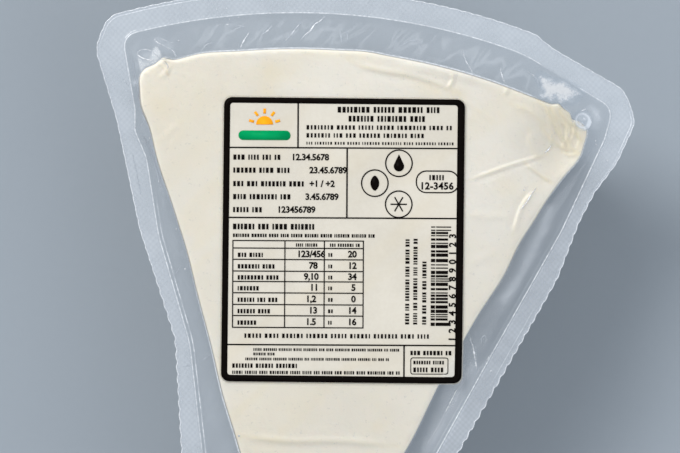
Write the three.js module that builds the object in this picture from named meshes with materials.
// A wedge of white cheese in a vacuum pack, in millimetres, +Z up. The pack lies on the flat bottom of
// its pocket, with the lid side up. The wedge's tip points to -Y and its round rim to +Y.
//
// Three solids: the wedge in its tight film, the film skirt that stands out round it just under the
// top (an air-free web, then the heat-sealed flange with its wavy cut edge), and the film label.
// Outlines are drawn with the wheel's centre at 0, 0, and the finished group is then moved so that
// 0, 0, 0 is the middle of the bottom of its bounding box.

import * as THREE from "three";

// ---- Driving dimensions ------------------------------------------------------------------------

// The wedge, an eighth of a wheel
const WHEEL_RADIUS = 152.3;
const RIGHT_SIDE_ANGLE = 21.2; // degrees from the wedge's middle line
const LEFT_SIDE_ANGLE = 22.2;
const WEDGE_HEIGHT = 50;
const TIP_ROUND = 4.5; // radii seen from above
const CORNER_ROUND = 4.5;
const TOP_EDGE_ROUND = 2.2; // radii of the edges all round
const BOTTOM_EDGE_ROUND = 2.5;
const POCKET_DRAFT = 1.2; // the bottom is this much smaller on every side
const SIDE_HOLLOW = 0.5; // the sides draw in at mid height
const BULGE_HEIGHT = 40; // from here up the bulges below have their full depth
const TOP_BORDER = 9; // the top may slope down within this much of its edge
const EAR_DROP = 1.2; // the top slopes down to the ear at the right corner by this much
const EAR_DROP_SPREAD = 9;

// Where the sides stand out (+) or draw in (-): degrees off the middle line, millimetres from the
// wheel's centre, depth, and how far along the side it reaches
const BULGES = [
  { angle: 21.2, reach: 144.2, out: 3.9, spread: 7.4 }, // the folded ear at the right corner
  { angle: 20.4, reach: 152.3, out: -2.3, spread: 2.1 }, // the step beside the ear
  { angle: 21.2, reach: 134, out: 1.4, spread: 6 },
  { angle: 21.2, reach: 125, out: 1.2, spread: 7 },
  { angle: 21.2, reach: 109, out: 1.15, spread: 9 },
  { angle: 21.2, reach: 79, out: -0.3, spread: 9 },
  { angle: 21.2, reach: 62, out: 0.3, spread: 8 },
  { angle: -22.2, reach: 143, out: 1.15, spread: 4.5 },
  { angle: -22.2, reach: 129, out: 0.9, spread: 10 },
  { angle: -22.2, reach: 104, out: -0.3, spread: 7 },
  { angle: -22.2, reach: 68, out: 0.5, spread: 9 },
  { angle: -19.4, reach: 152.5, out: 1.35, spread: 1.8 }, // the knob beside the left corner
  { angle: -15.6, reach: 152.3, out: 0.65, spread: 6 },
  { angle: -0.3, reach: 152.3, out: 0.35, spread: 5 },
];

// The film skirt
const SKIRT_THICKNESS = 0.8;
const WEB_ROOT_THICKNESS = 1.6; // where the web meets the wedge
const WEB_MIDDLE_FALL = 0.65; // share of its fall that the web has made half way out
const FIT_GAP = 0.3; // between solids that touch
const WEB_TOP = 48.4; // height of the film where it leaves the wedge
const FLANGE_TOP = 46.2; // mean height of the flange
const FLANGE_WAVE = 0.7; // the flange rises and falls by this much
const WAVES_ROUND = 5;
const SEAL_STEP = 0.3; // the flange is pressed this much thinner
const SEAL_STEP_WIDTH = 0.6;
const SEAL_REACH = 161.4; // from the wheel's centre to the seal line along the rim
const CUT_REACH = 167.2; // and to the cut edge
const SCALLOP_PITCH = 3.1;
const SCALLOP_DEPTH = 0.32;

// The label, a clear film with a printed frame
const LABEL_WIDTH = 61.4;
const LABEL_LENGTH = 72.1;
const LABEL_CORNER = 2.2;
const LABEL_THICKNESS = 0.3;
const LABEL_CENTRE = new THREE.Vector2(-0.7, 104.9);
const LABEL_TURN = 7; // degrees against the wedge's middle line

// How finely the rings are divided
const SIDE_STATIONS = 64;
const RIM_STATIONS = 52;
const CUT_EDGE_RATIO = 4; // points of the cut edge for each station
const CROWDING = 0.35; // stations stand closer together near the corners
const EDGE_STEPS = 3;
const LONGEST_TRIM = 0.45; // a corner's rounding takes at most this share of a side

// The seal line and the cut edge: the corners that the straight stretches meet in, and the radius
// that rounds each. They start in the middle of the blunt end round the wedge's tip, and "rim" marks
// the corner that the arc round the rim starts from.
const SEAL_CORNERS = [
  { x: -4.3, y: -8, round: 0, mark: true },
  { x: 3.9, y: -8, round: 7 },
  { x: 40.4, y: 82.5, round: 40 },
  { x: 53.4, y: 113.9, round: 25 },
  { x: 61.4, y: 138, round: 5 },
  { x: 62.6, y: 146, round: 4.5, mark: true },
  { x: 39, y: 156.6, round: 40, rim: SEAL_REACH },
  { x: -61.9, y: 148.9, round: 4, mark: true },
  { x: -56.6, y: 131.2, round: 4 },
  { x: -56, y: 125.8, round: 4 },
  { x: -52.3, y: 119.4, round: 8 },
  { x: -46.9, y: 100.4, round: 30 },
  { x: -35.8, y: 74.6, round: 30 },
  { x: -28.9, y: 46, round: 60 },
  { x: -12.5, y: -8, round: 7 },
];
const CUT_CORNERS = [
  { x: -6.6, y: -14, round: 0, mark: true },
  { x: 5.7, y: -14, round: 12 },
  { x: 53.9, y: 101.8, round: 25 },
  { x: 57.6, y: 116.6, round: 12 },
  { x: 60.6, y: 124.5, round: 12 },
  { x: 65.3, y: 132.6, round: 12 },
  { x: 68.7, y: 143.2, round: 5 },
  { x: 66.9, y: 147.4, round: 0, mark: true },
  { x: 64.6, y: 151.2, round: 7 },
  { x: 44.5, y: 159.6, round: 60, rim: CUT_REACH },
  { x: -66.1, y: 154.2, round: 8, mark: true },
  { x: -68.5, y: 145.2, round: 8 },
  { x: -61.1, y: 128.4, round: 30 },
  { x: -51.9, y: 101.4, round: 30 },
  { x: -39.6, y: 75.1, round: 16 },
  { x: -34.6, y: 47.4, round: 60 },
  { x: -19, y: -14, round: 12 },
];

// ---- Outlines ----------------------------------------------------------------------------------

const radians = THREE.MathUtils.degToRad;

// A side between two corners: a straight line, or a stretch of a circle round the wheel's centre.
function sideBetween(from, to) {
  const start = new THREE.Vector2(from.x, from.y);
  const end = new THREE.Vector2(to.x, to.y);
  if (!from.rim) {
    const length = start.distanceTo(end);
    const at = (distance) => start.clone().lerp(end, distance / length);
    return { length, at };
  }
  const first = start.angle();
  const length = (end.angle() - first) * from.rim;
  const at = (distance) => {
    const angle = first + distance / from.rim;
    return new THREE.Vector2(from.rim * Math.cos(angle), from.rim * Math.sin(angle));
  };
  return { length, at, circle: from.rim };
}

// The curve along a side, between the places where the roundings at its two ends begin.
function sideCurve(side, trimStart, trimEnd) {
  const start = side.at(trimStart);
  const end = side.at(side.length - trimEnd);
  if (!side.circle) return new THREE.LineCurve(start, end);
  return new THREE.EllipseCurve(0, 0, side.circle, side.circle, start.angle(), end.angle());
}

// The closed curve through a list of corners, and how far along it each marked corner lies, 0 to 1.
function roundedOutline(corners) {
  const last = corners.length - 1;
  const sides = corners.map((corner, i) => sideBetween(corner, corners[i === last ? 0 : i + 1]));
  const before = (i) => sides[i === 0 ? last : i - 1];
  const trims = corners.map((corner, i) => {
    const inward = before(i);
    const incoming = inward.at(inward.length).sub(inward.at(inward.length - 1));
    const outgoing = sides[i].at(1).sub(sides[i].at(0));
    const turn = Math.abs(Math.atan2(incoming.cross(outgoing), incoming.dot(outgoing)));
    const longest = LONGEST_TRIM * Math.min(inward.length, sides[i].length);
    return Math.min(corner.round * Math.tan(turn / 2), longest);
  });

  const path = new THREE.CurvePath();
  const marks = [];
  corners.forEach((corner, i) => {
    const begun = path.curves.length ? path.getLength() : 0;
    const bend = new THREE.QuadraticBezierCurve(
      before(i).at(before(i).length - trims[i]),
      new THREE.Vector2(corner.x, corner.y),
      sides[i].at(trims[i]),
    );
    if (corner.round > 0) path.add(bend);
    if (corner.mark) marks.push(corner.round > 0 ? begun + bend.getLength() / 2 : begun);
    path.add(sideCurve(sides[i], trims[i], trims[i === last ? 0 : i + 1]));
    path.updateArcLengths();
  });
  const length = path.getLength();
  return { path, length, marks: marks.map((mark) => mark / length) };
}

// The wedge's outline, drawn in by an inset on every side.
function wedgeOutline(inset) {
  const right = radians(RIGHT_SIDE_ANGLE);
  const left = radians(LEFT_SIDE_ANGLE);
  const reach = WHEEL_RADIUS - inset;
  const along = Math.sqrt(reach * reach - inset * inset);
  const tip = inset / Math.sin(left + right);
  const round = Math.max(CORNER_ROUND - inset, 1);
  return roundedOutline([
    {
      x: tip * (Math.sin(right) - Math.sin(left)),
      y: tip * (Math.cos(right) + Math.cos(left)),
      round: Math.max(TIP_ROUND - inset, 1),
      mark: true,
    },
    {
      x: along * Math.sin(right) - inset * Math.cos(right),
      y: along * Math.cos(right) + inset * Math.sin(right),
      round,
      mark: true,
      rim: reach,
    },
    {
      x: -along * Math.sin(left) + inset * Math.cos(left),
      y: along * Math.cos(left) + inset * Math.sin(left),
      round,
      mark: true,
    },
  ]);
}

// Points round an outline, counter-clockwise from the tip. Every ring has its corners at the same
// stations, so that any two rings can be joined.
function ringPoints({ path, marks }, ratio = 1) {
  const points = [];
  [SIDE_STATIONS, RIM_STATIONS, SIDE_STATIONS].forEach((stations, run) => {
    const start = marks[run];
    const end = run === 2 ? marks[0] + 1 : marks[run + 1];
    const steps = stations * ratio;
    for (let k = 0; k < steps; k++) {
      const turn = (2 * Math.PI * k) / steps;
      const share = k / steps - (CROWDING * Math.sin(turn)) / (2 * Math.PI);
      points.push(path.getPoint((start + (end - start) * share) % 1));
    }
  });
  return points;
}

// The points moved out along the ring's own normal, by a distance that may differ from point to point.
function movedOut(points, distance) {
  return points.map((point, i) => {
    const next = points[(i + 1) % points.length];
    const previous = points[(i + points.length - 1) % points.length];
    const normal = new THREE.Vector2(next.y - previous.y, previous.x - next.x).normalize();
    return point.clone().addScaledVector(normal, distance(point, i));
  });
}

// A smooth hump, 1 at a place given off the middle line and out from the wheel's centre.
function humpAt(point, { angle, reach }, spread) {
  const turn = radians(angle);
  const centre = new THREE.Vector2(reach * Math.sin(turn), reach * Math.cos(turn));
  return Math.exp(-centre.distanceToSquared(point) / (spread * spread));
}

const bulgeAt = (point) =>
  BULGES.reduce((sum, bulge) => sum + bulge.out * humpAt(point, bulge, bulge.spread), 0);

// ---- Solids ------------------------------------------------------------------------------------

const raise = (points, height) => points.map((p, i) => new THREE.Vector3(p.x, p.y, height(i)));

// The faces between two rings of vertices. Where one ring is finer, its points fan out from the other's.
function bandFaces(from, to) {
  const faces = [];
  const coarse = from.count <= to.count ? from : to;
  const fine = coarse === from ? to : from;
  const ratio = fine.count / coarse.count;
  const add = (a, b, c) => faces.push(...(coarse === from ? [a, c, b] : [a, b, c]));
  const onCoarse = (i) => coarse.first + (i % coarse.count);
  const onFine = (i) => fine.first + (i % fine.count);
  const half = Math.ceil(ratio / 2);
  for (let i = 0; i < coarse.count; i++) {
    for (let k = 0; k < ratio; k++) {
      const near = k < half ? onCoarse(i) : onCoarse(i + 1);
      add(near, onFine(i * ratio + k), onFine(i * ratio + k + 1));
    }
    add(onCoarse(i), onFine(i * ratio + half), onCoarse(i + 1));
  }
  return faces;
}

// A closed solid from rings of points, each joined to the next. Without caps the last ring is joined
// to the first, which makes a closed loop in section.
function loft(rings, capped) {
  const positions = [];
  const bands = rings.map((ring) => {
    const first = positions.length / 3;
    ring.forEach((p) => positions.push(p.x, p.y, p.z));
    return { first, count: ring.length };
  });
  const faces = [];
  for (let i = 0; i + 1 < bands.length; i++) faces.push(...bandFaces(bands[i], bands[i + 1]));
  if (capped) {
    [0, rings.length - 1].forEach((end) => {
      const contour = rings[end].map((p) => new THREE.Vector2(p.x, p.y));
      THREE.ShapeUtils.triangulateShape(contour, []).forEach((face) => {
        const corners = face.map((index) => bands[end].first + index);
        faces.push(...(end === 0 ? corners.reverse() : corners));
      });
    });
  } else {
    faces.push(...bandFaces(bands[bands.length - 1], bands[0]));
  }
  const geometry = new THREE.BufferGeometry();
  geometry.setAttribute("position", new THREE.Float32BufferAttribute(positions, 3));
  geometry.setIndex(faces);
  geometry.computeVertexNormals();
  return geometry;
}

// The wedge's side in section, from the bottom face to the top face: an inset at each height.
function wedgeSection() {
  const section = [];
  for (let k = 0; k <= EDGE_STEPS; k++) {
    const turn = (k / EDGE_STEPS) * (Math.PI / 2);
    const inset = POCKET_DRAFT + BOTTOM_EDGE_ROUND * (1 - Math.sin(turn));
    section.push({ z: BOTTOM_EDGE_ROUND * (1 - Math.cos(turn)), inset });
  }
  section.push({ z: 0.5 * WEDGE_HEIGHT, inset: POCKET_DRAFT / 2 + SIDE_HOLLOW });
  section.push({ z: WEB_TOP - WEB_ROOT_THICKNESS - FLANGE_WAVE, inset: 0 });
  for (let k = 0; k <= EDGE_STEPS; k++) {
    const turn = (k / EDGE_STEPS) * (Math.PI / 2);
    const z = WEDGE_HEIGHT - TOP_EDGE_ROUND * (1 - Math.sin(turn));
    section.push({ z, inset: TOP_EDGE_ROUND * (1 - Math.cos(turn)), slopes: k > 0 });
  }
  section.push({ z: WEDGE_HEIGHT, inset: TOP_BORDER });
  return section;
}

function cheeseWedge(material) {
  const ear = BULGES[0];
  const rings = wedgeSection().map(({ z, inset, slopes }) => {
    const share = THREE.MathUtils.smoothstep(z, 0, BULGE_HEIGHT);
    const points = movedOut(ringPoints(wedgeOutline(inset)), (point) => share * bulgeAt(point));
    const drop = slopes ? (EAR_DROP * (z - WEDGE_HEIGHT + TOP_EDGE_ROUND)) / TOP_EDGE_ROUND : 0;
    return raise(points, (i) => z - drop * humpAt(points[i], ear, EAR_DROP_SPREAD));
  });
  return new THREE.Mesh(loft(rings, true), material);
}

// The wave that the flange makes round the pack, at a share of the way round.
const flangeWave = (share) => FLANGE_WAVE * Math.sin(2 * Math.PI * WAVES_ROUND * share);

function filmSkirt(material) {
  const inner = movedOut(ringPoints(wedgeOutline(0)), (point) => bulgeAt(point) + FIT_GAP);
  const seal = ringPoints(roundedOutline(SEAL_CORNERS));
  const pressed = movedOut(seal, () => SEAL_STEP_WIDTH);
  const halfway = inner.map((point, i) => point.clone().lerp(seal[i], 0.5));

  const cutOutline = roundedOutline(CUT_CORNERS);
  const scallops = Math.round(cutOutline.length / SCALLOP_PITCH);
  let travelled = 0;
  const smooth = ringPoints(cutOutline, CUT_EDGE_RATIO);
  const cut = movedOut(smooth, (point, i) => {
    travelled += i > 0 ? point.distanceTo(smooth[i - 1]) : 0;
    const phase = (2 * Math.PI * scallops * travelled) / cutOutline.length;
    return SCALLOP_DEPTH * Math.sin(phase);
  });

  const wave = (i) => flangeWave(i / seal.length);
  const flange = (i) => FLANGE_TOP + wave(i);
  const underside = (i) => flange(i) - SKIRT_THICKNESS;
  const cutWave = (i) => flangeWave(i / cut.length);
  const halfwayTop = (i) => WEB_TOP + WEB_MIDDLE_FALL * (flange(i) - WEB_TOP);
  const rings = [
    raise(inner, () => WEB_TOP - WEB_ROOT_THICKNESS),
    raise(halfway, (i) => halfwayTop(i) - SKIRT_THICKNESS),
    raise(seal, underside),
    raise(cut, (i) => FLANGE_TOP + cutWave(i) - SKIRT_THICKNESS),
    raise(cut, (i) => FLANGE_TOP + cutWave(i) - SEAL_STEP),
    raise(pressed, (i) => flange(i) - SEAL_STEP),
    raise(seal, flange),
    raise(halfway, halfwayTop),
    raise(inner, () => WEB_TOP),
  ];
  return new THREE.Mesh(loft(rings, false), material);
}

function labelFilm(material) {
  const right = LABEL_WIDTH / 2;
  const top = LABEL_LENGTH / 2;
  const round = LABEL_CORNER;
  const shape = new THREE.Shape();
  shape.absarc(right - round, top - round, round, 0, Math.PI / 2);
  shape.absarc(round - right, top - round, round, Math.PI / 2, Math.PI);
  shape.absarc(round - right, round - top, round, Math.PI, 1.5 * Math.PI);
  shape.absarc(right - round, round - top, round, 1.5 * Math.PI, 2 * Math.PI);
  const geometry = new THREE.ExtrudeGeometry(shape, {
    depth: LABEL_THICKNESS,
    bevelEnabled: false,
    curveSegments: 8,
  });
  const mesh = new THREE.Mesh(geometry, material);
  mesh.position.set(LABEL_CENTRE.x, LABEL_CENTRE.y, WEDGE_HEIGHT + FIT_GAP);
  mesh.rotation.z = radians(LABEL_TURN);
  return mesh;
}

// ---- Materials ---------------------------------------------------------------------------------

const cheese = new THREE.MeshStandardMaterial({ color: 0xefeadb, roughness: 0.35, metalness: 0 });
const clearFilm = new THREE.MeshStandardMaterial({
  color: 0xb9c3cc,
  roughness: 0.25,
  metalness: 0,
  transparent: true,
  opacity: 0.45,
});
const labelStock = new THREE.MeshStandardMaterial({ color: 0xf2ede0, roughness: 0.3, metalness: 0 });

// ---- The pack ----------------------------------------------------------------------------------

const pack = new THREE.Group();
const pieces = {
  cheese_wedge: cheeseWedge(cheese),
  film_skirt: filmSkirt(clearFilm),
  label: labelFilm(labelStock),
};
for (const [name, mesh] of Object.entries(pieces)) {
  mesh.name = name;
  pack.add(mesh);
}
const centre = new THREE.Box3().setFromObject(pack, true).getCenter(new THREE.Vector3());
for (const mesh of pack.children) mesh.position.sub(new THREE.Vector3(centre.x, centre.y, 0));

export default pack;
